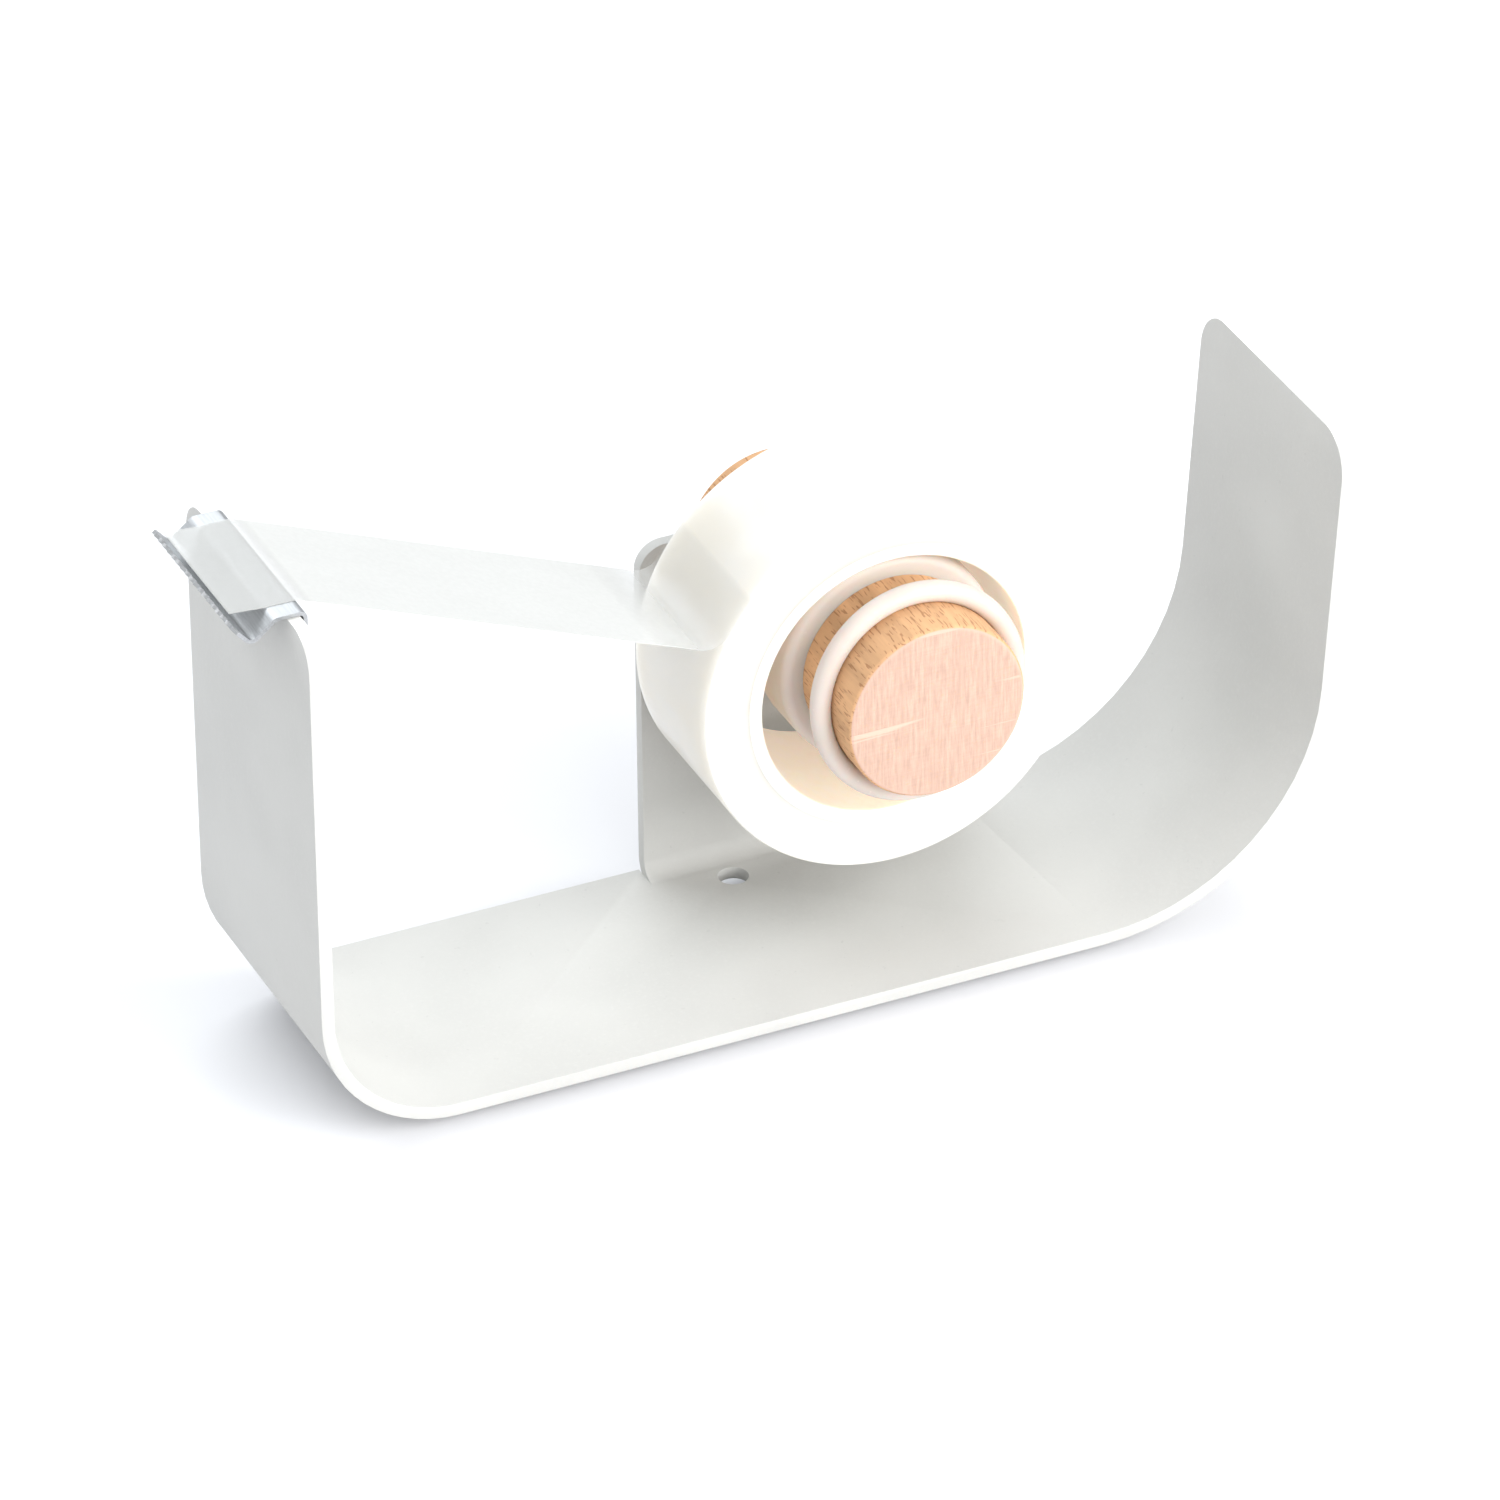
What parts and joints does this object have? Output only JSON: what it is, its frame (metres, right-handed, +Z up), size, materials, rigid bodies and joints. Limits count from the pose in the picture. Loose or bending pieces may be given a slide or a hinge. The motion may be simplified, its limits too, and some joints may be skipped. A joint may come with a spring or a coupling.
{
  "type": "tape dispenser",
  "caption": "Desk tape dispenser: bent white steel strip with a toothed blade on its front wall, a side tab with a wooden spindle and rings, and a small roll of translucent tape.",
  "frame": {"origin": "on the desk, under the base pad, below the middle of the object's length and of the steel strip's width", "axes": "+X from the bladed front wall to the swept-up tail, +Y from the open side to the tab that carries the spindle, +Z up"},
  "size_m": [0.1068, 0.0361, 0.055],
  "materials": {
    "white_steel": "matt warm white powder coat",
    "blade_steel": "satin, bare",
    "beech": "sawn and oiled",
    "silicone": "translucent white, satin",
    "tape": "matt, translucent",
    "core": "translucent ivory",
    "pad": "matt",
    "fastener": "zinc plated"
  },
  "bodies": {
    "frame": {"bent_frame": "white_steel", "base_pad": "pad", "blade": "blade_steel", "spindle": "beech", "spindle_button": "beech", "spindle_screw": "fastener", "screw_washer": "fastener", "front_ring": "silicone", "roll_band": "silicone"},
    "tape_end": {"free_tape": "tape"},
    "roll": {"tape_roll": "tape", "tape_core": "core"}
  },
  "joints": [
    {"name": "roll_off", "type": "slide", "parent": "frame", "child": "tape_end", "axis": [0, -1, 0], "range_m": [0, 0.026]},
    {"name": "roll_spin", "type": "hinge", "parent": "tape_end", "child": "roll", "pos_m": [0.01065, 0, 0.0302], "axis": [0, 1, 0], "continuous": true}
  ]
}
